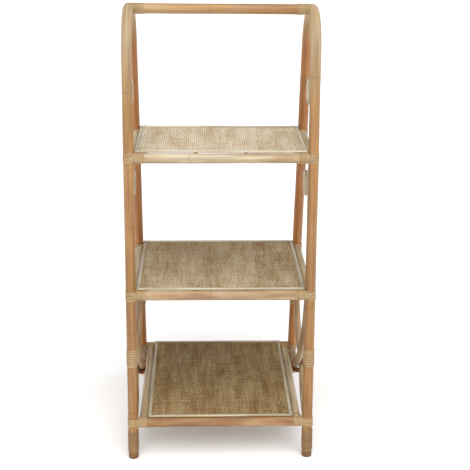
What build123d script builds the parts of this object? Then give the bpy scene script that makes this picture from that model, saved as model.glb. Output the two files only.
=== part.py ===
"""Three-tier ladder shelf of round rattan poles, in millimetres.

The origin is on the floor under the middle of the shelf. +X runs to the right, the open
front faces -Y and +Z is up. Each separate piece is written to parts/ under its own name.
"""
from build123d import *
import math
import os

# Overall sizes, outside to outside
OVERALL_WIDTH = 476.0
OVERALL_DEPTH = 486.0
OVERALL_HEIGHT = 1127.0

# Poles
LEG_DIAMETER = 26.0
TOP_RAIL_DIAMETER = 25.0
CROSS_RAIL_DIAMETER = 25.0
SIDE_RAIL_DIAMETER = 22.0
BRACE_DIAMETER = 17.0
SUPPORT_CANE_DIAMETER = 10.0
BEND_RADIUS = 101.0

# Heights of the shelf surfaces above the floor
TOP_SHELF_HEIGHT = 789.0
MIDDLE_SHELF_HEIGHT = 446.0
BOTTOM_SHELF_HEIGHT = 109.0

# Woven mats and the half-round beading round them
MAT_THICKNESS = 4.0
MAT_SEAT = 1.0
MAT_SIDE_CLEARANCE = 1.5
MAT_EDGE_PRESS = 0.3
BEADING_WIDTH = 8.0
SUPPORT_CANE_COUNT = 4
SUPPORT_CANE_SEAT = 0.5
SUPPORT_CANE_INSET = 26.0

# Side rails: how far they stand inside the middle of the legs
UPPER_SIDE_RAIL_INSET = 2.0
BOTTOM_SIDE_RAIL_INSET = 26.5

# Bindings of rattan peel
PEEL_THICKNESS = 1.2
JOINT_BINDING_LENGTH = 28.0
RAIL_BINDING_LENGTH = 27.0
SIDE_BINDING_LENGTH = 18.0
LEG_BINDING_LENGTH = 50.0
LEG_BINDING_HEIGHT = 268.0
FOOT_BINDING_LENGTH = 60.0
FOOT_BINDING_HEIGHT = 45.0
LASHING_DIAMETER = 36.0
LASHING_OVERHANG = 1.5
LASHING_TURN_BETWEEN = 0.8

# Curved braces between the middle and bottom shelves
BRACE_INSET = 3.5
BRACE_CROSSING_HEIGHT = 143.0
BRACE_KNEE_HEIGHT = 250.0
BRACE_KNEE_SETBACK = 105.0
BRACE_FOOT_RISE = 22.0

# Small coiled rings and the cane pins that carry them
RING_OUTER_DIAMETER = 68.0
RING_CANE_DIAMETER = 12.0
UPPER_RING_HEIGHT = 912.0
LOWER_RING_HEIGHT = 672.0
RING_PIN_DIAMETER = 5.0
RING_PIN_TENON = 6.0

# Fasteners
SCREW_DIAMETER = 3.5
SCREW_HEAD_DIAMETER = 7.0
SCREW_HEAD_THICKNESS = 2.0
SCREW_HEAD_PROUD = 0.3
SCREW_REACH = 30.0
PIN_HEAD_DIAMETER = 3.0
PIN_HEAD_THICKNESS = 0.8
PIN_SHANK_DIAMETER = 1.4
PIN_SHANK_LENGTH = 6.0
PIN_END_DISTANCE = 14.0

# Worked out from the sizes above
LEG_RADIUS = LEG_DIAMETER / 2
LEG_X = OVERALL_WIDTH / 2 - LEG_RADIUS
RAIL_TOP_Z = OVERALL_HEIGHT - LEG_RADIUS
BEND_CENTRE_Z = RAIL_TOP_Z - BEND_RADIUS
FOOT_Y = OVERALL_DEPTH / 2 - LEG_RADIUS
CROSS_RAIL_DROP = MAT_THICKNESS - MAT_SEAT + CROSS_RAIL_DIAMETER / 2
TRIM_LENGTH = 60.0

FRONT, REAR = -1, 1
LEFT, RIGHT = -1, 1
SIDES, ENDS = (LEFT, RIGHT), (FRONT, REAR)
CORNERS = [(side, end) for side in SIDES for end in ENDS]
SIDE_NAMES = {LEFT: "left", RIGHT: "right"}
END_NAMES = {FRONT: "front", REAR: "rear"}


def leg_lean():
    """Angle from the upright of a straight leg that runs smoothly into the bend."""
    reach = math.hypot(FOOT_Y, BEND_CENTRE_Z)
    return math.acos(BEND_RADIUS / reach) - math.atan2(BEND_CENTRE_Z, FOOT_Y)


LEAN = leg_lean()


def leg_y(height, end):
    """Middle of a straight leg, front or rear, at one height."""
    return end * (FOOT_Y - height * math.tan(LEAN))


def rod(start, stop, diameter):
    """Round pole between two points, with flat ends."""
    start, stop = Vector(*start), Vector(*stop)
    along = stop - start
    round_pole = Cylinder(diameter / 2, along.length, align=(Align.CENTER, Align.CENTER, Align.MIN))
    return Plane(origin=start, z_dir=along) * round_pole


def cut(piece, *tools):
    """The piece with every tool taken away, as its largest solid."""
    for tool in tools:
        piece = piece - tool
    return max(piece.solids(), key=lambda solid: solid.volume)


def save(name, *solids):
    """Write one named piece, or one group of like pieces."""
    shape = solids[0] if len(solids) == 1 else Compound(list(solids))
    shape.label = name
    export_step(shape, f"parts/{name}.step")


def side_frame(side):
    """One pole bent over the top: front leg, round bend, rear leg, cut flat at the floor."""
    x = side * LEG_X
    tangent_y = BEND_RADIUS * math.cos(LEAN)
    tangent_z = BEND_CENTRE_Z + BEND_RADIUS * math.sin(LEAN)
    legs = []
    for end in ENDS:
        below_floor = (x, leg_y(-TRIM_LENGTH, end), -TRIM_LENGTH)
        legs.append(rod(below_floor, (x, end * tangent_y, tangent_z), LEG_DIAMETER))
    section = Plane(origin=(x, -tangent_y, tangent_z), z_dir=(0, math.sin(LEAN), math.cos(LEAN)))
    over_the_top = Axis((0, 0, BEND_CENTRE_Z), (-1, 0, 0))
    turn = 180 - 2 * math.degrees(LEAN)
    bend = revolve(section * Circle(LEG_RADIUS), axis=over_the_top, revolution_arc=turn)
    floor_block = Pos(x, 0, -TRIM_LENGTH) * Box(TRIM_LENGTH, 2 * OVERALL_DEPTH, 2 * TRIM_LENGTH)
    return cut(legs[0] + bend + legs[1], floor_block)


def top_rail():
    return rod((-LEG_X, 0, RAIL_TOP_Z), (LEG_X, 0, RAIL_TOP_Z), TOP_RAIL_DIAMETER)


def cross_rail(rail_z, end):
    """Front or rear rail of a shelf, from leg to leg."""
    y = leg_y(rail_z, end)
    return rod((-LEG_X, y, rail_z), (LEG_X, y, rail_z), CROSS_RAIL_DIAMETER)


def side_rail(rail_z, side, inset):
    """Left or right rail of a shelf, from front to rear."""
    x = side * (LEG_X - inset)
    return rod((x, leg_y(rail_z, FRONT), rail_z), (x, leg_y(rail_z, REAR), rail_z), SIDE_RAIL_DIAMETER)


def mat_half_width(inset):
    return LEG_X - inset - SIDE_RAIL_DIAMETER / 2 - MAT_SIDE_CLEARANCE


def woven_mat(surface_z, inset):
    """Flat woven sheet between the middle lines of the cross rails, pressed thinner under its beading."""
    width, depth = 2 * mat_half_width(inset), 2 * leg_y(surface_z - CROSS_RAIL_DROP, REAR)
    underside = (Align.CENTER, Align.CENTER, Align.MIN)
    sheet = Box(width, depth, MAT_THICKNESS - MAT_EDGE_PRESS, align=underside)
    field = Box(width - 2 * BEADING_WIDTH, depth - 2 * BEADING_WIDTH, MAT_THICKNESS, align=underside)
    return (Pos(0, 0, surface_z - MAT_THICKNESS) * (sheet + field)).solid()


def support_canes(surface_z, inset):
    """Thin canes from the front rail to the rear rail that carry the mat from below."""
    underside = surface_z - MAT_THICKNESS
    cane_z = underside + SUPPORT_CANE_SEAT - SUPPORT_CANE_DIAMETER / 2
    outer_x = mat_half_width(inset) - SUPPORT_CANE_INSET
    end_y = leg_y(surface_z - CROSS_RAIL_DROP, REAR)
    canes = []
    for index in range(SUPPORT_CANE_COUNT):
        x = outer_x * (2 * index / (SUPPORT_CANE_COUNT - 1) - 1)
        canes.append(rod((x, -end_y, cane_z), (x, end_y, cane_z), SUPPORT_CANE_DIAMETER))
    return canes


def half_round(start, stop):
    """Half-round strip between two points on the mat, flat side down."""
    start, stop = Vector(*start), Vector(*stop)
    along = (stop - start).normalized()
    across = Vector(0, 0, 1).cross(along)
    radius = BEADING_WIDTH / 2
    upper_half = Circle(radius) & (Pos(0, radius) * Rectangle(BEADING_WIDTH, BEADING_WIDTH))
    return extrude(Plane(origin=start, x_dir=across, z_dir=along) * upper_half, (stop - start).length)


def beading(surface_z, inset):
    """Four strips on the edges of a mat: front and rear full width, sides between them."""
    half_x = mat_half_width(inset)
    half_y = leg_y(surface_z - CROSS_RAIL_DROP, REAR)
    line_x, line_y = half_x - BEADING_WIDTH / 2, half_y - BEADING_WIDTH / 2
    side_y = half_y - BEADING_WIDTH
    z = surface_z - MAT_EDGE_PRESS
    strips = {}
    for end in ENDS:
        strips[END_NAMES[end]] = half_round((-half_x, end * line_y, z), (half_x, end * line_y, z))
    for side in SIDES:
        strips[SIDE_NAMES[side]] = half_round((side * line_x, -side_y, z), (side * line_x, side_y, z))
    return strips


def beading_pins(surface_z, inset):
    """Small round-headed pins near both ends of every beading strip."""
    half_x = mat_half_width(inset)
    half_y = leg_y(surface_z - CROSS_RAIL_DROP, REAR)
    line_x, line_y = half_x - BEADING_WIDTH / 2, half_y - BEADING_WIDTH / 2
    reach = half_y - BEADING_WIDTH - PIN_END_DISTANCE
    spots = [(side * (half_x - PIN_END_DISTANCE), end * line_y) for side, end in CORNERS]
    spots += [(side * line_x, end * reach) for side, end in CORNERS]
    crest = surface_z - MAT_EDGE_PRESS + BEADING_WIDTH / 2
    pins = []
    for x, y in spots:
        head = rod((x, y, crest), (x, y, crest + PIN_HEAD_THICKNESS), PIN_HEAD_DIAMETER)
        shank = rod((x, y, crest - PIN_SHANK_LENGTH), (x, y, crest), PIN_SHANK_DIAMETER)
        pins.append((head + shank).solid())
    return pins


def leg_sleeve(side, end, middle_z, length):
    """Peel binding round a leg, still filled where the leg passes."""
    low, high = middle_z - length / 2 * math.cos(LEAN), middle_z + length / 2 * math.cos(LEAN)
    x = side * LEG_X
    return rod((x, leg_y(low, end), low), (x, leg_y(high, end), high), LEG_DIAMETER + 2 * PEEL_THICKNESS)


def rail_sleeve(side, y, z, diameter, length):
    """Peel binding round the end of a rail that runs from leg to leg."""
    stop_x = side * (LEG_X - LEG_RADIUS - length)
    return rod((side * LEG_X, y, z), (stop_x, y, z), diameter + 2 * PEEL_THICKNESS)


def side_rail_sleeve(rail_z, side, end, inset):
    """Peel binding round the end of a side rail."""
    x, y = side * (LEG_X - inset), leg_y(rail_z, end)
    stop_y = y - end * (LEG_RADIUS + SIDE_BINDING_LENGTH)
    return rod((x, y, rail_z), (x, stop_y, rail_z), SIDE_RAIL_DIAMETER + 2 * PEEL_THICKNESS)


def brace(side, start_end):
    """Curved cane from under the middle shelf at one leg down to the foot of the other leg."""
    middle_rail_z = MIDDLE_SHELF_HEIGHT - CROSS_RAIL_DROP
    bottom_rail_z = BOTTOM_SHELF_HEIGHT - CROSS_RAIL_DROP
    x = side * (LEG_X - BRACE_INSET)
    crossing_x = x + side * start_end * (BRACE_DIAMETER + LASHING_TURN_BETWEEN) / 2
    beside_leg = LEG_RADIUS / math.cos(LEAN) + BRACE_DIAMETER / 2
    start_y = abs(leg_y(middle_rail_z, start_end)) - beside_leg
    sag_z = (middle_rail_z + BRACE_KNEE_HEIGHT) / 2 - BRACE_FOOT_RISE / 2
    knee_y = abs(leg_y(BRACE_KNEE_HEIGHT, start_end)) - BRACE_KNEE_SETBACK
    foot_y = abs(leg_y(bottom_rail_z, -start_end))
    rise = BRACE_CROSSING_HEIGHT + BRACE_FOOT_RISE
    points = [
        (x, start_end * start_y, middle_rail_z),
        (x, start_end * (start_y + knee_y) / 2, sag_z),
        (x + (crossing_x - x) / 2, start_end * knee_y * 2 / 3, (BRACE_KNEE_HEIGHT + rise) / 2),
        (crossing_x, 0, BRACE_CROSSING_HEIGHT),
        (x + (crossing_x - x) / 4, -start_end * foot_y / 2, bottom_rail_z + BRACE_FOOT_RISE),
        (x, -start_end * foot_y, bottom_rail_z),
    ]
    line = Spline(*points)
    section = Plane(origin=line @ 0, z_dir=line % 0) * Circle(BRACE_DIAMETER / 2)
    return sweep(section, path=line).solid()


def lashing(side):
    """Binding round the crossing of the two braces on one side."""
    middle_x = LEG_X - BRACE_INSET
    half_length = BRACE_DIAMETER + LASHING_TURN_BETWEEN / 2 + LASHING_OVERHANG
    inner_x, outer_x = side * (middle_x - half_length), side * (middle_x + half_length)
    z = BRACE_CROSSING_HEIGHT
    return rod((inner_x, 0, z), (outer_x, 0, z), LASHING_DIAMETER)


def ring_arc(side, height, start_angle, arc):
    """Round cane bent round the middle of a ring, from one angle on from the top."""
    x = side * LEG_X
    angle = math.radians(start_angle)
    middle_radius = (RING_OUTER_DIAMETER - RING_CANE_DIAMETER) / 2
    start = (x, middle_radius * math.sin(angle), height + middle_radius * math.cos(angle))
    along = (0, math.cos(angle), -math.sin(angle))
    section = Plane(origin=start, z_dir=along) * Circle(RING_CANE_DIAMETER / 2)
    return revolve(section, axis=Axis((x, 0, height), (-1, 0, 0)), revolution_arc=arc).solid()


def ring_pin(side, end, height):
    """Thin cane pin let into a leg, its other end hollowed to sit against the outside of a ring."""
    ring_middle = (RING_OUTER_DIAMETER - RING_CANE_DIAMETER) / 2
    reach = leg_y(height, REAR) - LEG_RADIUS + RING_PIN_TENON
    x = side * LEG_X
    pin = rod((x, end * ring_middle, height), (x, end * reach, height), RING_PIN_DIAMETER)
    return cut(pin, ring_arc(side, height, end * 90 - 45, 90))


def screw(head_point, inward):
    """Flat-headed screw whose head lies just under the surface at head_point."""
    head_point, inward = Vector(*head_point), Vector(*inward)
    neck = head_point + inward * SCREW_HEAD_THICKNESS
    head = rod(tuple(head_point), tuple(neck), SCREW_HEAD_DIAMETER)
    shank = rod(tuple(neck), tuple(head_point + inward * SCREW_REACH), SCREW_DIAMETER)
    return (head + shank).solid()


def top_rail_screws():
    """One screw through the bend of each side frame into the top rail."""
    depth = LEG_RADIUS + SCREW_HEAD_PROUD
    return [screw((side * (LEG_X + depth), 0, RAIL_TOP_Z), (-side, 0, 0)) for side in SIDES]


def shelf_screws(rail_z, inset):
    """Screws of one shelf: through the legs into the cross rails, and into the ends of the side rails."""
    depth = LEG_RADIUS + SCREW_HEAD_PROUD
    screws = []
    for side, end in CORNERS:
        screws.append(screw((side * (LEG_X + depth), leg_y(rail_z, end), rail_z), (-side, 0, 0)))
        side_x = side * (LEG_X - inset)
        if inset < LEG_RADIUS:
            z = rail_z + CROSS_RAIL_DIAMETER / 4
            head_y = leg_y(z, end) + end * depth
        else:
            z = rail_z
            head_y = leg_y(z, end) + end * (CROSS_RAIL_DIAMETER / 2 + SCREW_HEAD_PROUD)
        screws.append(screw((side_x, head_y, z), (0, -end, 0)))
    return screws


def save_shelf_bindings(name, rail_z, inset, wood, mat_and_beading, screws):
    """Peel bindings of one shelf: round the legs, the cross-rail ends and the side-rail ends."""
    on_legs, on_rails, on_sides = [], [], []
    for side, end in CORNERS:
        leg_part = cut(leg_sleeve(side, end, rail_z, JOINT_BINDING_LENGTH), *wood, *screws)
        on_legs.append(leg_part)
        rail_part = rail_sleeve(side, leg_y(rail_z, end), rail_z, CROSS_RAIL_DIAMETER, RAIL_BINDING_LENGTH)
        rail_part = cut(rail_part, *wood, *screws, leg_part, *mat_and_beading)
        on_rails.append(rail_part)
        side_part = side_rail_sleeve(rail_z, side, end, inset)
        on_sides.append(cut(side_part, *wood, *screws, leg_part, rail_part, *mat_and_beading))
    save(f"{name}_leg_bindings", *on_legs)
    save(f"{name}_rail_bindings", *on_rails)
    save(f"{name}_side_bindings", *on_sides)


def save_shelf(name, surface_z, inset, frames, braces):
    """Write every piece of one shelf but its screws and pins; give back its rails, screws and pins."""
    rail_z = surface_z - CROSS_RAIL_DROP
    mat = woven_mat(surface_z, inset)
    strips = beading(surface_z, inset)
    pins = beading_pins(surface_z, inset)
    screws = shelf_screws(rail_z, inset)
    cross = {end: cut(cross_rail(rail_z, end), *frames, mat) for end in ENDS}
    sides = {side: cut(side_rail(rail_z, side, inset), *frames, *cross.values()) for side in SIDES}
    for end, rail in cross.items():
        save(f"{name}_{END_NAMES[end]}_rail", cut(rail, *screws, *pins))
    for side, rail in sides.items():
        save(f"{name}_{SIDE_NAMES[side]}_rail", cut(rail, *screws))
    canes = [cut(cane, *cross.values(), mat) for cane in support_canes(surface_z, inset)]
    save(f"{name}_support_canes", *canes)
    save(f"{name}_woven_mat", cut(mat, *pins))
    for place, strip in strips.items():
        save(f"{name}_{place}_beading", cut(strip, *pins))
    wood = [*frames, *cross.values(), *sides.values(), *braces]
    save_shelf_bindings(name, rail_z, inset, wood, [mat, *strips.values()], screws)
    return cross, sides, screws, pins


def save_braces(frames, middle_sides, bottom_cross):
    """Write the curved braces, trimmed where they meet legs and rails, and their lashings."""
    for (side, end), cane in BRACES.items():
        trimmed = cut(cane, frames[side], middle_sides[side], *bottom_cross.values())
        save(f"{SIDE_NAMES[side]}_brace_from_{END_NAMES[end]}", trimmed)
    save("brace_lashings", *[cut(lashing(side), BRACES[side, FRONT], BRACES[side, REAR]) for side in SIDES])


def save_rings():
    """Write the rings and their pins; give back the pins of each side."""
    pins = {side: [] for side in SIDES}
    for name, height in {"upper": UPPER_RING_HEIGHT, "lower": LOWER_RING_HEIGHT}.items():
        for side, end in CORNERS:
            pins[side].append(ring_pin(side, end, height))
        for side in SIDES:
            save(f"{SIDE_NAMES[side]}_{name}_ring", ring_arc(side, height, 0, 360))
        save(f"{name}_ring_pins", *[pin for side in SIDES for pin in pins[side][-len(ENDS):]])
    return pins


def save_leg_bindings(frames):
    """Write the bindings round the legs between the lower two shelves and round the feet."""
    for name, height, length in (
        ("leg_bindings", LEG_BINDING_HEIGHT, LEG_BINDING_LENGTH),
        ("foot_bindings", FOOT_BINDING_HEIGHT, FOOT_BINDING_LENGTH),
    ):
        save(name, *[cut(leg_sleeve(side, end, height, length), frames[side]) for side, end in CORNERS])


def save_top_rail(frames, screws):
    """Write the top rail and the bindings round its ends."""
    save("top_rail", cut(top_rail(), *frames, *screws))
    sleeves = [rail_sleeve(side, 0, RAIL_TOP_Z, TOP_RAIL_DIAMETER, RAIL_BINDING_LENGTH) for side in SIDES]
    save("top_rail_bindings", *[cut(sleeve, top_rail(), *frames) for sleeve in sleeves])


def build():
    os.makedirs("parts", exist_ok=True)
    frames = {side: side_frame(side) for side in SIDES}
    both_frames = list(frames.values())
    screws = top_rail_screws()
    save_top_rail(both_frames, screws)
    all_pins = []
    rails = {}
    for name, (surface_z, inset) in SHELVES.items():
        braces = [] if name == "top_shelf" else list(BRACES.values())
        cross, sides, its_screws, pins = save_shelf(name, surface_z, inset, both_frames, braces)
        rails[name] = (cross, sides)
        screws += its_screws
        all_pins += pins
    save("beading_pins", *all_pins)
    save("joint_screws", *screws)
    save_leg_bindings(frames)
    save_braces(frames, rails["middle_shelf"][1], rails["bottom_shelf"][0])
    ring_pins = save_rings()
    for side, frame in frames.items():
        save(f"{SIDE_NAMES[side]}_side_frame", cut(frame, *ring_pins[side], *screws))


SHELVES = {
    "top_shelf": (TOP_SHELF_HEIGHT, UPPER_SIDE_RAIL_INSET),
    "middle_shelf": (MIDDLE_SHELF_HEIGHT, UPPER_SIDE_RAIL_INSET),
    "bottom_shelf": (BOTTOM_SHELF_HEIGHT, BOTTOM_SIDE_RAIL_INSET),
}
BRACES = {(side, end): brace(side, end) for side, end in CORNERS}
build()
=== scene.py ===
"""Looks of the three-tier ladder shelf: rattan poles, peel bindings, woven mats and cane trim."""

import math
import zlib
from collections import namedtuple

import bpy
import numpy as np
from mathutils import Matrix, Vector


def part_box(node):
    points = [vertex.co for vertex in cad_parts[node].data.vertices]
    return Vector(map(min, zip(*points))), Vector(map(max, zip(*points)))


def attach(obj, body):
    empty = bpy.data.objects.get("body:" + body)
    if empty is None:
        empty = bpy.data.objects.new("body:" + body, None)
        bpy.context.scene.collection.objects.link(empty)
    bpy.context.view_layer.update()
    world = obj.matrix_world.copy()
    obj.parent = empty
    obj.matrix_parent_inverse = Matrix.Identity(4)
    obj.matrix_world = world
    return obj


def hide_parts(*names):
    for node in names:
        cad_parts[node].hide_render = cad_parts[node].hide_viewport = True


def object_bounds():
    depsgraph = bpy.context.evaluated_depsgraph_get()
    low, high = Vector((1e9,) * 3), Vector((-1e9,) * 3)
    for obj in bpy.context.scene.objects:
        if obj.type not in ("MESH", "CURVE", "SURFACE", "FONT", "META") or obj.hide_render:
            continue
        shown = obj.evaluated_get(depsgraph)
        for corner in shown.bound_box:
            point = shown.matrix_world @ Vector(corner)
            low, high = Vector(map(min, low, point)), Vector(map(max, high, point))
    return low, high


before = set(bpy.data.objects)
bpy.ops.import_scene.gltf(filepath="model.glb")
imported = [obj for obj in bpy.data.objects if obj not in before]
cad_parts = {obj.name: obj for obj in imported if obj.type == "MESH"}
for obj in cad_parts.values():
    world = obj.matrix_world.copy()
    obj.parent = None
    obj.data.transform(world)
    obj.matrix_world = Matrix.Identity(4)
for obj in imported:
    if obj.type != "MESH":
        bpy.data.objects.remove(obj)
CAD_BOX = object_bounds()

MM = 0.001
SHELVES = ("top_shelf", "middle_shelf", "bottom_shelf")
SIDES = {"left": -1, "right": 1}
ENDS = {"front": -1, "rear": 1}
X_AXIS, Y_AXIS, Z_AXIS = np.eye(3)

# Poles. Waves gives the longest and the shortest wave of an unevenness.
BEND_RADIUS = 101 * MM
BEND_STEPS = 80
POLE_SIDES = 32
THIN_POLE_SIDES = {"brace": 24, "support cane": 16, "ring pin": 12}
POLE_STEP = 7 * MM
POLE_SWELL, POLE_SWELL_WAVES = 0.012, (420 * MM, 130 * MM)
POLE_WANDER, POLE_WANDER_WAVES = 0.5 * MM, (700 * MM, 260 * MM)
RING_PIN_WANDER = 0.2 * MM
POLE_OVAL, POLE_OVAL_WAVES = 0.008, (900 * MM, 300 * MM)
POLE_END_ROUNDING = 1.6 * MM
POLE_END_STOPS = (0, 0.15, 0.5, 1)
POLE_LET_IN = 4 * MM
SUPPORT_CANE_COUNT = 4

# Growth rings: a ridge beside a groove, with a dark mark. Stops and the ridge's place are shares of the
# ring's width, the first ring's place is a share of the shortest gap, and a mark's strength is up to 1.
GROWTH_RING_GAP = (210 * MM, 390 * MM)
FIRST_GROWTH_RING = (0.3, 1.0)
GROWTH_RING_FROM_END = 20 * MM
GROWTH_RING_RIDGE = 0.35 * MM
GROWTH_RING_GROOVE = 0.15 * MM
GROWTH_RING_WIDTH = 2.2 * MM
GROWTH_RING_STOPS = (-2.5, -1.2, -0.6, 0, 0.6, 1.2, 2.5)
RIDGE_PLACE = 0.6
MARK_NARROWING = 0.8
MARK_STRENGTH = (0.1, 1.0)

# Peel bindings, wound as one flat strip each. The profile gives shares of the width and the thickness.
PEEL_WIDTH = 4.2 * MM
PEEL_THICKNESS = 1.2 * MM
PEEL_TURN_GAP = 0.25 * MM
PEEL_PITCH_VARIATION = 0.10
PEEL_LIFT = (-0.12 * MM, 0.18 * MM)
PEEL_PROFILE = (
    (-0.5, -0.3), (-0.46, 0.45), (-0.25, 0.9), (0, 1.0), (0.25, 0.9), (0.46, 0.45), (0.5, -0.3),
)
PEEL_SEGMENTS = 36
JOINT_BINDING_LENGTH = 28 * MM
RAIL_BINDING_LENGTH = 27 * MM
SIDE_BINDING_LENGTH = 18 * MM
JOINT_OVERLAP = 5 * MM
SIDE_BINDING_OVERLAP = 3 * MM
LEG_BINDING_LEAN = 3 * MM  # what the lean of the legs adds to the height of their bindings
LASHING_LENGTH = 33 * MM
LASHING_RADIUS = 18 * MM
LASHING_TURN_BETWEEN = 0.8 * MM
ROUND, SQUARISH = 2.0, 2.8

# Woven mats. The strands are a little wider than fine weaving cane, so that each one shows.
WEAVE_PITCH = 5.2 * MM
WEAVE_RISE = 0.75 * MM
STRAND_GAP = 0.5 * MM
STRAND_THICKNESS = 1.3 * MM
STRAND_WIDTH_VARIATION = 0.10
STRAND_SHIFT = 0.25 * MM
STRAND_TONES = 40

# Beading and rings
BEADING_STEP = 8 * MM
BEADING_SWELL, BEADING_SWELL_WAVES = 0.03, (240 * MM, 60 * MM)
BEADING_SIDES = 9
RING_STEPS, RING_SIDES = 72, 20
RING_OVAL, RING_TRIANGLE, RING_SWELL = 0.008, 0.006, 0.02

# Braces
BRACE_INSET = 3.5 * MM
BRACE_CROSSING_HEIGHT = 143 * MM
BRACE_KNEE_HEIGHT = 250 * MM
BRACE_KNEE_SETBACK = 105 * MM
BRACE_FOOT_RISE = 22 * MM
BRACE_RADIUS = 8.5 * MM

# Each piece reads its own stretch of the grain patterns, shifted by up to this much.
GRAIN_SHIFT = 20


# ---------------------------------------------------------------- small helpers

def seeded(name):
    """Random numbers that are the same for one piece on every run."""
    return np.random.default_rng(zlib.crc32(name.encode()))


def linear(hex_colour):
    """Linear colour with alpha from an sRGB hex string."""
    channels = [int(hex_colour[i:i + 2], 16) / 255 for i in (1, 3, 5)]
    return [c / 12.92 if c <= 0.04045 else ((c + 0.055) / 1.055) ** 2.4 for c in channels] + [1.0]


def slow_waves(rng, distance, longest, shortest, count=4):
    """Smooth random values between about -1 and 1 along a distance."""
    total = np.zeros_like(distance)
    for _ in range(count):
        length = rng.uniform(shortest, longest)
        total += np.sin(2 * math.pi * distance / length + rng.uniform(0, 2 * math.pi))
    return total / count


def corners(node):
    """Lowest and highest corner of a node's box."""
    return [np.array(corner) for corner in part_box(node)]


def middle(node):
    return sum(corners(node)) / 2


# ---------------------------------------------------------------- shells

# One closed skin. Each point has a grain place (across, through and along the cane, in metres),
# a ring mark (1 on a growth ring) and its share of the way along the piece.
Shell = namedtuple("Shell", "points faces grain ring_marks travel")


def distances(path):
    return np.concatenate([[0.0], np.cumsum(np.linalg.norm(np.diff(path, axis=0), axis=1))])


def sample(path, at):
    length = distances(path)
    return np.stack([np.interp(at, length, path[:, axis]) for axis in range(3)], axis=1)


def smooth_curve(points, count=240):
    """Natural cubic curve through a few points."""
    points = np.array(points, float)
    knots = distances(points)
    gaps = np.diff(knots)
    size = len(points)
    matrix = np.eye(size)
    right = np.zeros((size, 3))
    for i in range(1, size - 1):
        matrix[i, i - 1:i + 2] = gaps[i - 1], 2 * (gaps[i - 1] + gaps[i]), gaps[i]
        rise = (points[i + 1] - points[i]) / gaps[i] - (points[i] - points[i - 1]) / gaps[i - 1]
        right[i] = 6 * rise
    bend = np.linalg.solve(matrix, right)
    at = np.linspace(0, knots[-1], count)
    i = np.clip(np.searchsorted(knots, at, side="right") - 1, 0, size - 2)
    gap = gaps[i][:, None]
    a = (knots[i + 1] - at)[:, None] / gap
    b = 1 - a
    curve = (a ** 3 - a) * bend[i] + (b ** 3 - b) * bend[i + 1]
    return a * points[i] + b * points[i + 1] + curve * gap ** 2 / 6


def skin(rings, around, closed=False):
    """Quads between neighbouring rings of points, with a cap at both ends unless the line is closed."""
    grid = np.arange(rings * around).reshape(rings, around)
    if closed:
        grid = np.vstack([grid, grid[:1]])
    low, high = grid[:-1], grid[1:]
    quads = np.stack([low, np.roll(low, -1, 1), np.roll(high, -1, 1), high], axis=-1)
    faces = quads.reshape(-1, 4).tolist()
    if not closed:
        faces.append(grid[0][::-1].tolist())
        faces.append(grid[-1].tolist())
    return faces


def section_at(reach, turn):
    """Points of a section at each turn round the line, as far out as reach."""
    return np.stack([reach * np.cos(turn), reach * np.sin(turn)], axis=-1)


def grain_at(section, along):
    """Grain places of swept sections: where each point is in its section, and how far along."""
    rings, around = section.shape[:2]
    lengthwise = np.repeat(along, around).reshape(rings, around, 1)
    return np.concatenate([section, lengthwise], axis=2).reshape(-1, 3)


def sweep(path, section, up, closed=False):
    """Skin of a section carried along a path. The section is (rings, points, 2): sideways and up."""
    if closed:
        ahead = np.roll(path, -1, axis=0) - np.roll(path, 1, axis=0)
    else:
        ahead = np.gradient(path, axis=0)
    ahead /= np.linalg.norm(ahead, axis=1)[:, None]
    sideways = np.cross(up, ahead)
    sideways /= np.linalg.norm(sideways, axis=1)[:, None]
    upward = np.cross(ahead, sideways)
    points = path[:, None] + section[..., :1] * sideways[:, None] + section[..., 1:] * upward[:, None]
    return points.reshape(-1, 3), skin(*points.shape[:2], closed)


def growth_rings(rng, length):
    """Places along a pole where its growth rings lie."""
    places = []
    at = rng.uniform(*FIRST_GROWTH_RING) * GROWTH_RING_GAP[0]
    while at < length - GROWTH_RING_FROM_END:
        places.append(at)
        at += rng.uniform(*GROWTH_RING_GAP)
    return places


def pole_stops(length, rings):
    """Places of a pole's sections: even steps, closer at the growth rings and the rounded ends."""
    stops = list(np.arange(POLE_STEP, length - POLE_STEP / 2, POLE_STEP))
    for ring in rings:
        stops += [ring + share * GROWTH_RING_WIDTH for share in GROWTH_RING_STOPS]
    for share in POLE_END_STOPS:
        stops += [share * POLE_END_ROUNDING, length - share * POLE_END_ROUNDING]
    return np.unique(np.clip(stops, 0, length).round(6))


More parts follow.
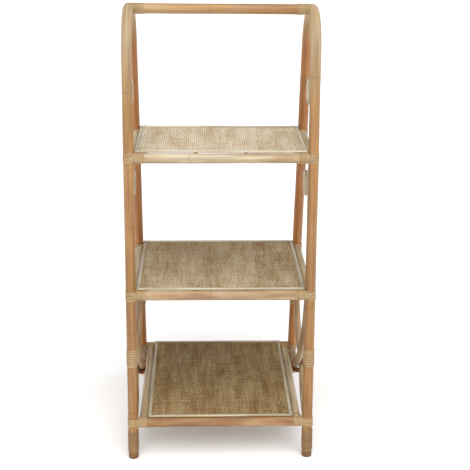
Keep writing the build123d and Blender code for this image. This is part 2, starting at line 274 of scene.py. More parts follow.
def pole(name, path, radius, up, wander=POLE_WANDER, sides=POLE_SIDES):
    """Round pole with growth rings, slightly uneven in line and thickness, and rounded end edges."""
    rng = seeded(name)
    length = distances(path)[-1]
    rings = growth_rings(rng, length)
    stops = pole_stops(length, rings)
    radii = radius * (1 + POLE_SWELL * slow_waves(rng, stops, *POLE_SWELL_WAVES))
    marks = np.zeros_like(stops)
    for ring in rings:
        offset = (stops - ring) / GROWTH_RING_WIDTH
        radii += GROWTH_RING_RIDGE * np.exp(-(offset - RIDGE_PLACE) ** 2)
        radii -= GROWTH_RING_GROOVE * np.exp(-(offset + RIDGE_PLACE) ** 2)
        mark = np.exp(-(offset * MARK_NARROWING) ** 2) * rng.uniform(*MARK_STRENGTH)
        marks = np.maximum(marks, mark)
    to_end = np.minimum(stops, length - stops).clip(0, POLE_END_ROUNDING)
    missing = POLE_END_ROUNDING - to_end
    radii -= POLE_END_ROUNDING - np.sqrt(np.maximum(POLE_END_ROUNDING ** 2 - missing ** 2, 0))
    line = sample(path, stops)
    across = np.cross(up, np.gradient(line, axis=0))
    across /= np.linalg.norm(across, axis=1)[:, None]
    for direction in (across, up):
        drift = wander * slow_waves(rng, stops, *POLE_WANDER_WAVES)
        line = line + drift[:, None] * direction
    turn = np.linspace(0, 2 * math.pi, sides, endpoint=False)
    twist = 3 * slow_waves(rng, stops, *POLE_OVAL_WAVES)
    oval = 1 + POLE_OVAL * np.cos(2 * turn[None] + twist[:, None])
    section = section_at(radii[:, None] * oval, turn)
    points, faces = sweep(line, section, up)
    grain = grain_at(section, stops + rng.uniform(-GRAIN_SHIFT, GRAIN_SHIFT))
    return Shell(points, faces, grain, np.repeat(marks, sides), np.repeat(stops / length, sides))


def winding(name, start, stop, half_across, half_up, up, squareness=ROUND):
    """One flat strip of peel wound side by side round the line from start to stop.

    Squareness 2 winds it in an oval; above that its corners fill out."""
    rng = seeded(name)
    start, stop = np.array(start, float), np.array(stop, float)
    length = np.linalg.norm(stop - start)
    axis = (stop - start) / length
    across = np.cross(up, axis)
    across /= np.linalg.norm(across)
    upward = np.cross(axis, across)
    advance_length = length - PEEL_WIDTH
    turns = max(2, round(advance_length / (PEEL_WIDTH + PEEL_TURN_GAP)))
    steps = turns * PEEL_SEGMENTS + 1
    whole_turns = np.arange(turns + 1)
    turn = np.linspace(0, 2 * math.pi * turns, steps)
    counted = turn / (2 * math.pi)
    pitch = 1 + PEEL_PITCH_VARIATION * rng.uniform(-1, 1, turns + 1)
    advance = np.interp(counted, whole_turns, np.concatenate([[0], np.cumsum(pitch[:turns])]))
    advance *= advance_length / advance[-1]
    lift = np.interp(counted, whole_turns, rng.uniform(*PEEL_LIFT, turns + 1))
    strip = PEEL_WIDTH - PEEL_TURN_GAP
    angle = turn + rng.uniform(0, 2 * math.pi)
    cosine, sine = np.cos(angle), np.sin(angle)
    squash = (np.abs(cosine) ** squareness + np.abs(sine) ** squareness) ** (-1 / squareness)
    shift = rng.uniform(-GRAIN_SHIFT, GRAIN_SHIFT)
    rows, grain = [], []
    for place, height in PEEL_PROFILE:
        out = height * PEEL_THICKNESS + lift
        along = PEEL_WIDTH / 2 + advance + place * strip
        rows.append(
            start + along[:, None] * axis
            + ((half_across * squash + out) * cosine)[:, None] * across
            + ((half_up * squash + out) * sine)[:, None] * upward
        )
        grain_place = [np.full(steps, place * strip), np.zeros(steps), turn * half_across + shift]
        grain.append(np.stack(grain_place, axis=1))
    points = np.stack(rows, axis=1).reshape(-1, 3)
    grain = np.stack(grain, axis=1).reshape(-1, 3)
    unmarked = np.zeros(len(points))
    return Shell(points, skin(steps, len(PEEL_PROFILE)), grain, unmarked, unmarked)


def strand_field(low, high, height, lengthwise, rng):
    """All the strands that run one way in a plain weave, each a flat lens-shaped strip."""
    size = high - low
    across_axis, along_axis = (0, 1) if lengthwise else (1, 0)
    count = round(size[across_axis] / WEAVE_PITCH)
    crossings = round(size[along_axis] / WEAVE_PITCH)
    pitch, step = size[across_axis] / count, size[along_axis] / crossings / 2
    strand = np.arange(count)[:, None]
    stop = np.arange(2 * crossings + 1)[None]
    phase = strand + (stop - 1) // 2 + (0 if lengthwise else 1)
    over_or_under = np.where(phase % 2 == 0, 1.0, -1.0)
    rise = np.where(stop % 2 == 1, over_or_under, 0.0) * WEAVE_RISE
    half_width = (pitch - STRAND_GAP) / 2 * (1 + STRAND_WIDTH_VARIATION * rng.uniform(-1, 1, (count, 1)))
    centre = low[across_axis] + (strand + 0.5) * pitch
    centre = centre + STRAND_SHIFT * rng.uniform(-1, 1, (count, 1)) + 0 * stop
    along = low[along_axis] + stop * step + 0 * strand
    tone = rng.uniform(0, STRAND_TONES, (count, 1)) + 0 * stop
    outline = ((-1, 0), (0, 1), (1, 0), (0, -1))
    stops, around = stop.shape[1], len(outline)
    points = np.zeros((count, stops, around, 3))
    grain = np.zeros_like(points)
    for corner, (sideways, upward) in enumerate(outline):
        points[:, :, corner, across_axis] = centre + sideways * half_width
        points[:, :, corner, along_axis] = along
        points[:, :, corner, 2] = height + rise + upward * STRAND_THICKNESS / 2
        grain[:, :, corner, 0] = sideways * half_width
        grain[:, :, corner, 1] = tone
        grain[:, :, corner, 2] = along
    one_strand = skin(stops, around)
    if lengthwise:
        one_strand = [face[::-1] for face in one_strand]
    faces = (np.array(one_strand)[None] + strand[..., None] * stops * around).reshape(-1, 4).tolist()
    total = count * stops * around
    travel = np.full(total, float(lengthwise))
    return Shell(points.reshape(-1, 3), faces, grain.reshape(-1, 3), np.zeros(total), travel)


def half_round(name, start, stop, radius):
    """Half-round strip with its flat side down, slightly uneven in width."""
    rng = seeded(name)
    length = np.linalg.norm(stop - start)
    stops = np.linspace(0, length, max(12, int(length / BEADING_STEP)))
    line = sample(np.array([start, stop]), stops)
    turn = np.linspace(0, math.pi, BEADING_SIDES)
    reach = radius * (1 + BEADING_SWELL * slow_waves(rng, stops, *BEADING_SWELL_WAVES))[:, None]
    section = section_at(reach, turn)
    points, faces = sweep(line, section, Z_AXIS)
    grain = grain_at(section, stops + rng.uniform(-GRAIN_SHIFT, GRAIN_SHIFT))
    return Shell(points, faces, grain, np.zeros(len(points)), np.repeat(stops / length, BEADING_SIDES))


def cane_ring(name, centre, ring_radius, cane_radius):
    """Closed ring of bent cane in the plane of a side frame, a little out of round."""
    rng = seeded(name)
    turn = np.linspace(0, 2 * math.pi, RING_STEPS, endpoint=False)
    wobble = 1 + RING_OVAL * np.sin(2 * turn + rng.uniform(0, 6))
    wobble += RING_TRIANGLE * np.sin(3 * turn + rng.uniform(0, 6))
    circle = np.outer(np.cos(turn) * wobble, Y_AXIS) + np.outer(np.sin(turn) * wobble, Z_AXIS)
    around = np.linspace(0, 2 * math.pi, RING_SIDES, endpoint=False)
    reach = cane_radius * (1 + RING_SWELL * np.sin(5 * turn + rng.uniform(0, 6)))[:, None]
    section = section_at(reach, around)
    points, faces = sweep(centre + ring_radius * circle, section, X_AXIS, closed=True)
    there_and_back = np.abs((turn / math.pi + 1) % 2 - 1) * math.pi * ring_radius
    unmarked = np.zeros(len(points))
    return Shell(points, faces, grain_at(section, there_and_back), unmarked, unmarked)


# ---------------------------------------------------------------- finishes

# Sockets of a colour mix and a value mix, which share their names in one node.
COLOUR_UNDER, COLOUR_OVER, COLOUR_OUT = 6, 7, 2
VALUE_UNDER, VALUE_OVER, VALUE_OUT = 2, 3, 0

# Sizes of the patterns in the cane: across it, through it and along it. Real fibres and hairs are a
# fifth to a third of a millimetre wide, too fine to show, so they are drawn two to five times coarser.
POLE_FIBRE = (1.6 * MM, 1.6 * MM, 60 * MM)
POLE_BAND = (7 * MM, 7 * MM, 260 * MM)
POLE_BLOTCH = (22 * MM, 22 * MM, 120 * MM)
PEEL_SHADE = (2.4 * MM, 1.0, 85 * MM)
PEEL_HAIR = (0.5 * MM, 1.0, 18 * MM)
MAT_PATCH = (26 * MM, 150 * MM, 1.0)
STRAND_HAIR = (0.7 * MM, 1.0, 14 * MM)
# Between strands these two change with the strand's own random tone, and not across its width.
STRAND_SHADE = (math.inf, 1 / 1.7, 70 * MM)
STRAND_FLECK = (math.inf, 1 / 9.3, 9 * MM)

# How strongly the colours along a pole, its dark bands and its growth rings show.
ALONG_SHARE = 0.62
BAND_STRENGTH = 0.70
RING_TINT = 0.24


def add(tree, kind, inputs=None, stops=None, **settings):
    """Adds one node. An input is a plain value or another node's output; stops are a ramp's colours."""
    made = tree.nodes.new(kind)
    for key, value in settings.items():
        setattr(made, key, value)
    for key, value in (inputs or {}).items():
        if isinstance(value, bpy.types.NodeSocket):
            tree.links.new(value, made.inputs[key])
        else:
            made.inputs[key].default_value = value
    if stops:
        elements = made.color_ramp.elements
        while len(elements) < len(stops):
            elements.new(0.5)
        for element, (place, colour) in zip(elements, stops):
            element.position = place
            element.color = linear(colour) if isinstance(colour, str) else [colour] * 3 + [1.0]
    return made


def bare_finish(name):
    """A material with nothing in it yet, and its nodes."""
    material = bpy.data.materials.new(name)
    material.use_nodes = True
    material.node_tree.nodes.clear()
    return material, material.node_tree


def surface(tree, inputs):
    """The surface itself, from its colour, roughness, relief and so on."""
    shader = add(tree, "ShaderNodeBsdfPrincipled", inputs)
    add(tree, "ShaderNodeOutputMaterial", {"Surface": shader.outputs["BSDF"]})


def streaks(tree, grain, reach, detail=2.0, roughness=0.5):
    """Random streaks from 0 to 1. Reach is their size across, through and along the cane."""
    scale = [1 / size for size in reach]
    place = add(tree, "ShaderNodeMapping", {"Vector": grain, "Scale": scale}).outputs[0]
    pattern = {"Vector": place, "Scale": 1.0, "Detail": detail, "Roughness": roughness}
    return add(tree, "ShaderNodeTexNoise", pattern).outputs["Fac"]


def edge_shade(tree, grain, starts, full, depth):
    """How far a flat strip darkens towards its long edges, as painted shade where it meets its neighbours.
    Starts and full are from its middle line.
    """
    across = add(tree, "ShaderNodeSeparateXYZ", {"Vector": grain}).outputs["X"]
    from_middle = add(tree, "ShaderNodeMath", {0: across}, operation="ABSOLUTE").outputs[0]
    edge = {"Value": from_middle, "From Min": starts, "From Max": full, "To Min": 0.0, "To Max": depth}
    return add(tree, "ShaderNodeMapRange", edge).outputs[0]


def scraped_rattan(name, tones, marks, along=None, streak=0.30):
    """Peeled and scraped rattan pole, sanded and thinly lacquered: satin, with fine lengthwise fibres.

    Tones go from deep to pale over the pole's blotches; along gives colours from one end to the other."""
    material, tree = bare_finish(name)
    grain = add(tree, "ShaderNodeAttribute", attribute_name="grain").outputs["Vector"]
    fibre = streaks(tree, grain, POLE_FIBRE, detail=3.0, roughness=0.6)
    band = streaks(tree, grain, POLE_BAND, roughness=0.6)
    blotch = streaks(tree, grain, POLE_BLOTCH)
    body = add(tree, "ShaderNodeValToRGB", {"Fac": blotch}, stops=tones).outputs["Color"]
    if along:
        travel = add(tree, "ShaderNodeAttribute", attribute_name="travel").outputs["Fac"]
        wide = add(tree, "ShaderNodeValToRGB", {"Fac": travel}, stops=along).outputs["Color"]
        both = {"Factor": ALONG_SHARE, COLOUR_UNDER: body, COLOUR_OVER: wide}
        body = add(tree, "ShaderNodeMix", both, data_type="RGBA").outputs[COLOUR_OUT]
    stripes = add(tree, "ShaderNodeValToRGB", {"Fac": band}, stops=[(0.38, 0.56), (0.60, 1.0)])
    lines = add(tree, "ShaderNodeValToRGB", {"Fac": fibre}, stops=[(0.30, 0.62), (0.62, 1.0)])
    for strength, shade in ((BAND_STRENGTH, stripes), (streak, lines)):
        darker = {"Factor": strength, COLOUR_UNDER: body, COLOUR_OVER: shade.outputs["Color"]}
        mixed = add(tree, "ShaderNodeMix", darker, data_type="RGBA", blend_type="MULTIPLY")
        body = mixed.outputs[COLOUR_OUT]
    mark = add(tree, "ShaderNodeAttribute", attribute_name="growth_ring").outputs["Fac"]
    depth = add(tree, "ShaderNodeMath", {0: mark, 1: RING_TINT}, operation="MULTIPLY").outputs[0]
    ringed = {"Factor": depth, COLOUR_UNDER: body, COLOUR_OVER: linear(marks)}
    sheen = {"Value": fibre, "To Min": 0.40, "To Max": 0.60}
    relief = {"Height": fibre, "Distance": 0.12 * MM, "Strength": 0.6}
    surface(tree, {
        "Base Color": add(tree, "ShaderNodeMix", ringed, data_type="RGBA").outputs[COLOUR_OUT],
        "Roughness": add(tree, "ShaderNodeMapRange", sheen).outputs[0],
        "Normal": add(tree, "ShaderNodeBump", relief).outputs[0],
        "Coat Weight": 0.2,
        "Coat Roughness": 0.35,
    })
    return material


def split_peel(name, tones, edge):
    """Split rattan peel: the glossy outer skin of the cane in flat strips, each turn its own shade.
    Each turn darkens towards its edges: painted shade where it meets the next turn.
    """
    material, tree = bare_finish(name)
    grain = add(tree, "ShaderNodeAttribute", attribute_name="grain").outputs["Vector"]
    shade = streaks(tree, grain, PEEL_SHADE)
    hair = streaks(tree, grain, PEEL_HAIR)
    body = add(tree, "ShaderNodeValToRGB", {"Fac": shade}, stops=tones).outputs["Color"]
    # Painted shade: each turn darkens towards its edges, where it meets the next turn.
    rim = edge_shade(tree, grain, starts=1.1 * MM, full=2.0 * MM, depth=0.85)
    shaded = {"Factor": rim, COLOUR_UNDER: body, COLOUR_OVER: linear(edge)}
    sheen = {"Value": hair, "To Min": 0.34, "To Max": 0.56}
    relief = {"Height": hair, "Distance": 0.08 * MM, "Strength": 0.5}
    surface(tree, {
        "Base Color": add(tree, "ShaderNodeMix", shaded, data_type="RGBA").outputs[COLOUR_OUT],
        "Roughness": add(tree, "ShaderNodeMapRange", sheen).outputs[0],
        "Normal": add(tree, "ShaderNodeBump", relief).outputs[0],
    })
    return material


def woven_cane(name, tones, fleck_and_edge_shade):
    """Close plain weave of thin split cane: strands of many shades, dark skin flecks and soft patches,
    with painted shade along each strand's edges.
    """
    material, tree = bare_finish(name)
    grain = add(tree, "ShaderNodeAttribute", attribute_name="grain").outputs["Vector"]
    place = add(tree, "ShaderNodeTexCoord").outputs["Object"]
    strand = streaks(tree, grain, STRAND_SHADE, detail=1.0)
    patch = streaks(tree, place, MAT_PATCH, detail=3.0)
    fleck = streaks(tree, grain, STRAND_FLECK, detail=0.0)
    hair = streaks(tree, grain, STRAND_HAIR)
    both = {"Factor": 0.50, VALUE_UNDER: strand, VALUE_OVER: patch}
    tone = add(tree, "ShaderNodeMix", both).outputs[VALUE_OUT]
    body = add(tree, "ShaderNodeValToRGB", {"Fac": tone}, stops=tones).outputs["Color"]
    flecked = {"Value": fleck, "From Min": 0.67, "From Max": 0.78, "To Max": 0.8}
    # Painted shade: each strand darkens towards its edges, where it meets its neighbours.
    rim = edge_shade(tree, grain, starts=1.2 * MM, full=2.4 * MM, depth=0.5)
    for amount in (add(tree, "ShaderNodeMapRange", flecked).outputs[0], rim):
        darker = {"Factor": amount, COLOUR_UNDER: body, COLOUR_OVER: linear(fleck_and_edge_shade)}
        body = add(tree, "ShaderNodeMix", darker, data_type="RGBA").outputs[COLOUR_OUT]
    sheen = {"Value": hair, "To Min": 0.50, "To Max": 0.72}
    relief = {"Height": hair, "Distance": 0.10 * MM, "Strength": 0.5}
    surface(tree, {
        "Base Color": body,
        "Roughness": add(tree, "ShaderNodeMapRange", sheen).outputs[0],
        "Normal": add(tree, "ShaderNodeBump", relief).outputs[0],
    })
    return material


def plated_metal(name, colour, worn, smoothest):
    """Small plated fastener: bright metal with a faintly dulled, uneven plating."""
    material, tree = bare_finish(name)
    place = add(tree, "ShaderNodeTexCoord").outputs["Object"]
    clouds = {"Vector": place, "Scale": 1 / (1.5 * MM), "Detail": 3.0}
    dull = add(tree, "ShaderNodeTexNoise", clouds).outputs["Fac"]
    tints = [(0.35, worn), (0.65, colour)]
    sheen = {"Value": dull, "To Min": smoothest, "To Max": smoothest + 0.20}
    surface(tree, {
        "Base Color": add(tree, "ShaderNodeValToRGB", {"Fac": dull}, stops=tints).outputs["Color"],
        "Roughness": add(tree, "ShaderNodeMapRange", sheen).outputs[0],
        "Metallic": 1.0,
    })
    return material


def painted_floor():
    """Matt white studio floor with a hardly visible mottle. A faint glow keeps the shadow on it pale."""
    material, tree = bare_finish("matt_white_floor")
    place = add(tree, "ShaderNodeTexCoord").outputs["Object"]
    clouds = {"Vector": place, "Scale": 3.0, "Detail": 2.0}
    mottle = add(tree, "ShaderNodeTexNoise", clouds).outputs["Fac"]
    whites = [(0.3, "#F6F6F6"), (0.7, "#FAFAFA")]
    surface(tree, {
        "Base Color": add(tree, "ShaderNodeValToRGB", {"Fac": mottle}, stops=whites).outputs["Color"],
        "Roughness": 0.9,
        "Specular IOR Level": 0.1,
        "Emission Color": (1.0, 1.0, 1.0, 1.0),
        "Emission Strength": 0.14,
    })
    return material


FINISHES = {
    # Warm tan poles: dark cut tips at the front feet, palest over the bend, orange down the rear legs.
    # The colours along are partly the pole's own and partly painted light: a painted highlight over the
    # bend, where the light from above falls, and painted shade down the rear legs, away from the front
    # light.
    "side_pole": scraped_rattan(
        "scraped_rattan_side_pole", [(0.30, "#9A6836"), (0.50, "#B5844C"), (0.70, "#C99E68")], "#5E3A20",
        along=[
            (0.0, "#3C1800"), (0.006, "#4A2006"), (0.009, "#9A6A34"), (0.28, "#B2804A"),
            (0.38, "#B88A55"), (0.45, "#D6C29C"), (0.53, "#D2B88C"), (0.57, "#B86C2E"),
            (0.80, "#C67C3E"), (1.0, "#CC7E40"),
        ],
    ),
    # Pale at the left end, browner to the right.
    "top_rail": scraped_rattan(
        "scraped_rattan_top_rail", [(0.32, "#A47440"), (0.52, "#BC9058"), (0.70, "#D0B080")], "#6C4628",
        along=[(0.0, "#CCAC7A"), (0.5, "#B88652"), (1.0, "#AC7A42")],
    ),
    # The rails get browner from the top shelf down: partly their own colour, partly painted shade,
    # as less of the light from above reaches the lower shelves.
    "top_shelf_rail": scraped_rattan(
        "scraped_rattan_upper_rail", [(0.32, "#B4946A"), (0.50, "#CBB089"), (0.70, "#DECBAA")], "#7A5836",
    ),
    "middle_shelf_rail": scraped_rattan(
        "scraped_rattan_middle_rail", [(0.32, "#AC8458"), (0.50, "#C6A47A"), (0.70, "#DAC4A0")], "#6C4A2A",
    ),
    "bottom_shelf_rail": scraped_rattan(
        "scraped_rattan_lower_rail", [(0.32, "#946437"), (0.50, "#AA7C4B"), (0.70, "#C29D6E")], "#5A3A1E",
    ),
    # Thinner canes: paler and greyer than the poles, with plainer fibres. On the side rails the
    # paleness is partly their own colour and partly a painted highlight from the light above.
    "side_rail_with_painted_highlight": scraped_rattan(
        "scraped_rattan_side_rail_painted_highlight", [(0.32, "#B89E78"), (0.50, "#CCB690"), (0.70, "#DCCEAE")], "#6A5234",
        streak=0.45,
    ),
    "brace": scraped_rattan(
        "scraped_rattan_brace", [(0.32, "#98744C"), (0.50, "#B49268"), (0.70, "#CCB48C")], "#5E3E22",
        streak=0.45,
    ),
    "ring": scraped_rattan(
        "scraped_ring_cane", [(0.32, "#C4B28C"), (0.50, "#D6C8A6"), (0.70, "#E2D8BC")], "#7A6442",
        streak=0.35,
    ),
    # Split cane, nearly white on the top shelf and a little duller on each shelf below: partly the cane's
    # own colour, partly painted light, a painted highlight on the top shelf and painted shade below it.
    "top_shelf_beading": scraped_rattan(
        "split_cane_upper_beading", [(0.32, "#CABFA2"), (0.50, "#D9D0B8"), (0.70, "#E4DDC8")], "#8A7C58",
        streak=0.4,
    ),
    "middle_shelf_beading": scraped_rattan(
        "split_cane_middle_beading", [(0.32, "#BDB094"), (0.50, "#CDC2A8"), (0.70, "#DAD2BC")], "#7E7250",
        streak=0.4,
    ),
    "bottom_shelf_beading": scraped_rattan(
        "split_cane_lower_beading", [(0.32, "#B8A888"), (0.50, "#C8BA9C"), (0.70, "#D6CAB0")], "#6E6444",
        streak=0.4,
    ),
    # Cream weave on the top shelf, straw in the middle, brown straw at the bottom: partly the weave's own
    # colour, partly painted light, a painted highlight on the top shelf and painted shade on the lower
    # two.
    # The last colour of each is for the skin flecks and the painted shade at the strands' edges.
    "top_shelf_mat": woven_cane(
        "plain_woven_cane_upper", [(0.36, "#C6AE8A"), (0.48, "#DCCBAC"), (0.62, "#EADFC8")], "#9A7E58",
    ),
    "middle_shelf_mat": woven_cane(
        "plain_woven_cane_middle", [(0.36, "#A08058"), (0.48, "#BCA47C"), (0.62, "#D4C2A0")], "#765836",
    ),
    "bottom_shelf_mat": woven_cane(
        "plain_woven_cane_lower", [(0.36, "#84602F"), (0.48, "#A28454"), (0.62, "#BCA476")], "#583A1C",
    ),
    # Straw-coloured skin; greyer and worn round the feet, and darker reddish brown round the crossings,
    # which is painted shade where the lashings sit in shade below the middle shelf.
    # The last colour of each peel darkens the edges of its turns, as painted shade.
    "peel": split_peel(
        "split_rattan_peel", [(0.32, "#A68658"), (0.50, "#B89A6E"), (0.68, "#C8B088")], "#7A5C38",
    ),
    "foot_peel": split_peel(
        "split_rattan_peel_foot", [(0.32, "#7C5E38"), (0.50, "#927048"), (0.68, "#A88A60")], "#523818",
    ),
    "lashing": split_peel(
        "rattan_lashing_painted_shade", [(0.32, "#844A20"), (0.50, "#A0602E"), (0.68, "#B47A48")], "#4E2C16",
    ),
    # Cool grey screws and yellowish pins.
    "steel": plated_metal("zinc_plated_steel", "#B9BBBC", "#8E9092", smoothest=0.26),
    "brass": plated_metal("brass_plated_pin", "#B8A070", "#8A7040", smoothest=0.32),
}


# ---------------------------------------------------------------- pieces

def make_piece(name, node, material, shells):
    """One visible piece that stands for one CAD node, from one or more shells."""
    faces = []
    base = 0
    for shell in shells:
        faces += [[index + base for index in face] for face in shell.faces]
        base += len(shell.points)
    points = np.concatenate([shell.points for shell in shells])
    grain = np.concatenate([shell.grain for shell in shells])
    marks = np.concatenate([shell.ring_marks for shell in shells])
    travel = np.concatenate([shell.travel for shell in shells])
    mesh = bpy.data.meshes.new(name)
    mesh.from_pydata(points.tolist(), [], faces)
    mesh.attributes.new("grain", "FLOAT_VECTOR", "POINT").data.foreach_set("vector", grain.ravel())
    mesh.attributes.new("growth_ring", "FLOAT", "POINT").data.foreach_set("value", marks)
    mesh.attributes.new("travel", "FLOAT", "POINT").data.foreach_set("value", travel)
    mesh.polygons.foreach_set("use_smooth", np.array([len(face) == 4 for face in faces]))
    mesh.materials.append(material)
    mesh.validate()
    piece = bpy.data.objects.new(name, mesh)
    bpy.context.scene.collection.objects.link(piece)
    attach(piece, "root")
    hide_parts(node)
    return piece


# Centre line of one side frame and what it is worked out from: the pole's radius, how far its feet
# stand from the middle, and the angle between its legs and upright.
SideFrame = namedtuple("SideFrame", "path x radius foot_y lean")


def side_frame_line(side):
    """One side frame's line from the front foot over the bend to the rear foot.

    The lean and the foot's place depend on each other, and three rounds settle both."""
    low, high = corners(f"{side}_side_frame")
    radius = (high[0] - low[0]) / 2
    bend_z = high[2] - radius - BEND_RADIUS
    foot_y = high[1] - radius
    for _ in range(3):
        lean = math.acos(BEND_RADIUS / math.hypot(foot_y, bend_z)) - math.atan2(bend_z, foot_y)
        foot_y = high[1] - radius / math.cos(lean)
    angles = np.linspace(math.pi - lean, lean, BEND_STEPS)
    bend = np.stack([BEND_RADIUS * np.cos(angles), bend_z + BEND_RADIUS * np.sin(angles)], axis=1)
    below = radius * math.sin(lean)
    sole_y = foot_y + below * math.tan(lean)
    flat = np.concatenate([[[-sole_y, -below]], bend, [[sole_y, -below]]])
    x = (low[0] + high[0]) / 2
    return SideFrame(np.column_stack([np.full(len(flat), x), flat]), x, radius, foot_y, lean)


SIDE_FRAMES = {side: side_frame_line(side) for side in SIDES}


def leg_point(side, end, z):
    side_frame = SIDE_FRAMES[side]
    return np.array([side_frame.x, ENDS[end] * (side_frame.foot_y - z * math.tan(side_frame.lean)), z])


def round_leg(name, side, end, z, length):
    """Binding round one leg, with its middle at one height."""
    side_frame = SIDE_FRAMES[side]
    half = length / 2 * math.cos(side_frame.lean)
    start, stop = leg_point(side, end, z - half), leg_point(side, end, z + half)
    return winding(f"{name}_{side}_{end}", start, stop, side_frame.radius, side_frame.radius, X_AXIS)


def side_poles():
    """Bent poles of the side frames, with both feet cut off level where they stand."""
    for side, side_frame in SIDE_FRAMES.items():
        name, node = f"{side}_side_pole", f"{side}_side_frame"
        shell = pole(name, side_frame.path, side_frame.radius, X_AXIS)
        shell.points[:, 2] = shell.points[:, 2].clip(0)
        make_piece(name, node, FINISHES["side_pole"], [shell])


def straight_pole(node, material):
    """Round pole along the longest direction of its node, let a little into what it meets."""
    low, high = corners(node)
    axis = int(np.argmax(high - low))
    start, stop = middle(node), middle(node)
    start[axis], stop[axis] = low[axis] - POLE_LET_IN, high[axis] + POLE_LET_IN
    up = X_AXIS if axis == 1 else Z_AXIS
    shell = pole(node, np.array([start, stop]), (high[2] - low[2]) / 2, up)
    make_piece(f"{node}_pole", node, material, [shell])


def top_rail():
    """Rail between the two bends, bound at both ends."""
    straight_pole("top_rail", FINISHES["top_rail"])
    low, high = corners("top_rail")
    z, radius = (low[2] + high[2]) / 2, (high[2] - low[2]) / 2
    shells = []
    for side, sign in SIDES.items():
        side_frame = SIDE_FRAMES[side]
        inner = side_frame.x - sign * JOINT_OVERLAP
        stop = side_frame.x - sign * (side_frame.radius + RAIL_BINDING_LENGTH)
        shells.append(winding(f"top_rail_{side}", (inner, 0, z), (stop, 0, z), radius, radius, Z_AXIS))
    make_piece("top_rail_peel", "top_rail_bindings", FINISHES["peel"], shells)


def shelf_rails(shelf):
    for place in ENDS:
        straight_pole(f"{shelf}_{place}_rail", FINISHES[f"{shelf}_rail"])
    for place in SIDES:
        # Side rails: pale, partly a painted highlight from the light above.
        straight_pole(f"{shelf}_{place}_rail", FINISHES["side_rail_with_painted_highlight"])


def support_canes(shelf):
    """Thin canes under the mat, from rail to rail."""
    node = f"{shelf}_support_canes"
    low, high = corners(node)
    radius = (high[2] - low[2]) / 2
    z = low[2] + radius
    sides = THIN_POLE_SIDES["support cane"]
    shells = []
    for index, x in enumerate(np.linspace(low[0] + radius, high[0] - radius, SUPPORT_CANE_COUNT)):
        path = np.array([[x, low[1], z], [x, high[1], z]])
        shells.append(pole(f"{node}_{index}", path, radius, X_AXIS, sides=sides))
    # The carrying canes take their shelf's rail finish, painted shade included.
    make_piece(f"{shelf}_carrying_canes", node, FINISHES[f"{shelf}_rail"], shells)


def woven_mat(shelf):
    node = f"{shelf}_woven_mat"
    low, high = corners(node)
    rng = seeded(node)
    height = high[2] - WEAVE_RISE - STRAND_THICKNESS / 2
    shells = [strand_field(low, high, height, lengthwise, rng) for lengthwise in (True, False)]
    make_piece(f"{shelf}_weave", node, FINISHES[f"{shelf}_mat"], shells)


def beading(shelf):
    """Half-round strips on the four edges of a mat."""
    for place in (*ENDS, *SIDES):
        node = f"{shelf}_{place}_beading"
        low, high = corners(node)
        across = 1 if place in ENDS else 0
        along = 1 - across
        start = (low + high) / 2
        start[2] = low[2]
        stop = start.copy()
        start[along], stop[along] = low[along], high[along]
        shell = half_round(node, start, stop, (high[across] - low[across]) / 2)
        make_piece(f"{shelf}_{place}_bead", node, FINISHES[f"{shelf}_beading"], [shell])


def shelf_bindings(shelf):
    """Peel round the legs at the shelf, round the cross-rail ends and round the side-rail ends."""
    front_low, front_high = corners(f"{shelf}_front_rail")
    rail_z, rail_radius = (front_low[2] + front_high[2]) / 2, (front_high[2] - front_low[2]) / 2
    on_legs, on_rails, on_sides = [], [], []
    for side, sign in SIDES.items():
        side_low, side_high = corners(f"{shelf}_{side}_rail")
        side_x, side_radius = (side_low[0] + side_high[0]) / 2, (side_high[2] - side_low[2]) / 2
        leg_radius = SIDE_FRAMES[side].radius
        for end, direction in ENDS.items():
            name = f"{shelf}_{side}_{end}"
            on_legs.append(round_leg(f"{shelf}_leg", side, end, rail_z, JOINT_BINDING_LENGTH))
            corner = leg_point(side, end, rail_z)
            inner = corner - sign * JOINT_OVERLAP * X_AXIS
            stop = corner - sign * (leg_radius + RAIL_BINDING_LENGTH) * X_AXIS
            on_rails.append(winding(f"{name}_rail", inner, stop, rail_radius, rail_radius, Z_AXIS))
            near = np.array([side_x, corner[1] - direction * (leg_radius - SIDE_BINDING_OVERLAP), rail_z])
            far = near - direction * SIDE_BINDING_LENGTH * Y_AXIS
            on_sides.append(winding(f"{name}_side", near, far, side_radius, side_radius, Z_AXIS))
    make_piece(f"{shelf}_leg_peel", f"{shelf}_leg_bindings", FINISHES["peel"], on_legs)
    make_piece(f"{shelf}_rail_peel", f"{shelf}_rail_bindings", FINISHES["peel"], on_rails)
    make_piece(f"{shelf}_side_peel", f"{shelf}_side_bindings", FINISHES["peel"], on_sides)


def loose_bindings():
    """Peel round the legs between the lower two shelves and round the feet."""
    for node, finish in (("leg_bindings", "peel"), ("foot_bindings", "foot_peel")):
        low, high = corners(node)
        z, length = (low[2] + high[2]) / 2, high[2] - low[2] - LEG_BINDING_LEAN
        shells = [round_leg(node, side, end, z, length) for side in SIDES for end in ENDS]
        make_piece(node.replace("bindings", "peel"), node, FINISHES[finish], shells)


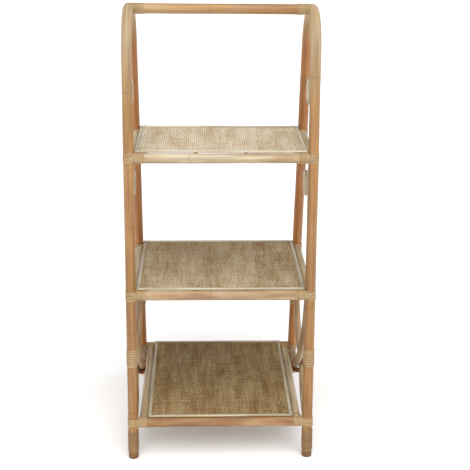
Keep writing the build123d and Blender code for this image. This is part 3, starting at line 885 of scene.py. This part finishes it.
def braces():
    """Curved canes from under the middle shelf to the foot of the other leg, lashed where they cross."""
    middle_z, bottom_z = middle("middle_shelf_left_rail")[2], middle("bottom_shelf_front_rail")[2]
    lashings = []
    for side, sign in SIDES.items():
        side_frame = SIDE_FRAMES[side]
        slope = math.tan(side_frame.lean)
        x = side_frame.x - sign * BRACE_INSET
        beside_leg = side_frame.radius / math.cos(side_frame.lean) + BRACE_RADIUS
        start_y = side_frame.foot_y - middle_z * slope - beside_leg
        knee_y = side_frame.foot_y - BRACE_KNEE_HEIGHT * slope - BRACE_KNEE_SETBACK
        far_y = side_frame.foot_y - bottom_z * slope
        rise = BRACE_CROSSING_HEIGHT + BRACE_FOOT_RISE
        for end, direction in ENDS.items():
            crossing_x = x + sign * direction * (BRACE_RADIUS + LASHING_TURN_BETWEEN / 2)
            shoulder_z = (middle_z + BRACE_KNEE_HEIGHT - BRACE_FOOT_RISE) / 2
            line = smooth_curve([
                (x, direction * start_y, middle_z),
                (x, direction * (start_y + knee_y) / 2, shoulder_z),
                ((x + crossing_x) / 2, direction * knee_y * 2 / 3, (BRACE_KNEE_HEIGHT + rise) / 2),
                (crossing_x, 0, BRACE_CROSSING_HEIGHT),
                (x + (crossing_x - x) / 4, -direction * far_y / 2, bottom_z + BRACE_FOOT_RISE),
                (x, -direction * far_y, bottom_z),
            ])
            node = f"{side}_brace_from_{end}"
            shell = pole(node, line, BRACE_RADIUS, X_AXIS, sides=THIN_POLE_SIDES["brace"])
            make_piece(f"{side}_{end}_curved_cane", node, FINISHES["brace"], [shell])
        half = LASHING_LENGTH / 2
        start, stop = (x, -half, BRACE_CROSSING_HEIGHT), (x, half, BRACE_CROSSING_HEIGHT)
        across = 2 * BRACE_RADIUS + LASHING_TURN_BETWEEN / 2
        upright = LASHING_RADIUS - PEEL_THICKNESS
        lashings.append(winding(f"{side}_lashing", start, stop, across, upright, Z_AXIS, SQUARISH))
    # The lashings' darker brown is painted shade round the crossings.
    make_piece("crossing_lashings", "brace_lashings", FINISHES["lashing"], lashings)


def rings():
    """Bent cane rings between the legs, on thin cane pins."""
    for level in ("upper", "lower"):
        pins_low, pins_high = corners(f"{level}_ring_pins")
        pin_radius = (pins_high[2] - pins_low[2]) / 2
        pins = []
        for side in SIDES:
            node = f"{side}_{level}_ring"
            low, high = corners(node)
            centre = middle(node)
            cane_radius = (high[0] - low[0]) / 2
            ring_radius = (high[2] - low[2]) / 2 - cane_radius
            shell = cane_ring(node, centre, ring_radius, cane_radius)
            make_piece(f"{side}_{level}_cane_ring", node, FINISHES["ring"], [shell])
            for end, outer_y in (("front", pins_low[1]), ("rear", pins_high[1])):
                path = np.array([centre, centre])
                path[:, 1] = ENDS[end] * ring_radius, outer_y
                sides = THIN_POLE_SIDES["ring pin"]
                pins.append(pole(f"{node}_{end}_pin", path, pin_radius, X_AXIS, RING_PIN_WANDER, sides))
        node = f"{level}_ring_pins"
        make_piece(f"{level}_ring_carrying_pins", node, FINISHES["brace"], pins)


def fasteners():
    """Screws and beading pins, which keep their CAD shapes."""
    for node, finish in (("joint_screws", "steel"), ("beading_pins", "brass")):
        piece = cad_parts[node]
        piece.data.materials.clear()
        piece.data.materials.append(FINISHES[finish])


# ---------------------------------------------------------------- studio

CAMERA_PLACE = (-0.0523, -2.3962, 1.3928)
CAMERA_YAW, CAMERA_PITCH, CAMERA_ROLL = 2.22, 19.84, 0.63
CAMERA_LENS, CAMERA_SENSOR = 73.78, 36.0
FLOOR_HALF_WIDTH = 30.0
FLOOR_GAP = 0.5 * MM
AIR_BRIGHTNESS = 0.52


def camera():
    lens = bpy.data.cameras.new("camera")
    lens.lens = CAMERA_LENS
    lens.sensor_width = CAMERA_SENSOR
    holder = bpy.data.objects.new("camera", lens)
    bpy.context.scene.collection.objects.link(holder)
    turn = Matrix.Rotation(math.radians(-CAMERA_YAW), 4, "Z")
    tilt = Matrix.Rotation(math.radians(90 - CAMERA_PITCH), 4, "X")
    roll = Matrix.Rotation(math.radians(CAMERA_ROLL), 4, "Z")
    holder.matrix_world = Matrix.Translation(CAMERA_PLACE) @ turn @ tilt @ roll
    bpy.context.scene.camera = holder


def soft_sun(name, direction, spread, strength):
    """Very large soft light: spread is the angle that it fills, in degrees."""
    light = bpy.data.lights.new(name, "SUN")
    light.angle = math.radians(spread)
    light.energy = strength
    holder = bpy.data.objects.new(name, light)
    bpy.context.scene.collection.objects.link(holder)
    holder.rotation_euler = Vector(direction).to_track_quat("-Z", "Y").to_euler()


def studio():
    """White floor, even white air, a soft light overhead and a weaker one in front."""
    mesh = bpy.data.meshes.new("studio_floor")
    half = FLOOR_HALF_WIDTH
    square = [(-half, -half, 0), (half, -half, 0), (half, half, 0), (-half, half, 0)]
    mesh.from_pydata(square, [], [(0, 1, 2, 3)])
    mesh.materials.append(painted_floor())
    floor = bpy.data.objects.new("studio_floor", mesh)
    floor.location.z = CAD_BOX[0].z - FLOOR_GAP
    bpy.context.scene.collection.objects.link(floor)
    world = bpy.data.worlds.new("studio_air")
    world.use_nodes = True
    background = world.node_tree.nodes["Background"]
    background.inputs["Color"].default_value = (1.0, 1.0, 1.0, 1.0)
    background.inputs["Strength"].default_value = AIR_BRIGHTNESS
    bpy.context.scene.world = world
    soft_sun("overhead_softbox", (-0.12, 0.45, -1.0), spread=60, strength=2.0)
    soft_sun("front_softbox", (0.25, 1.0, -0.40), spread=60, strength=0.50)
    bpy.context.scene.view_settings.view_transform = "Standard"


side_poles()
top_rail()
for shelf in SHELVES:
    shelf_rails(shelf)
    support_canes(shelf)
    woven_mat(shelf)
    beading(shelf)
    shelf_bindings(shelf)
loose_bindings()
braces()
rings()
fasteners()
camera()
studio()
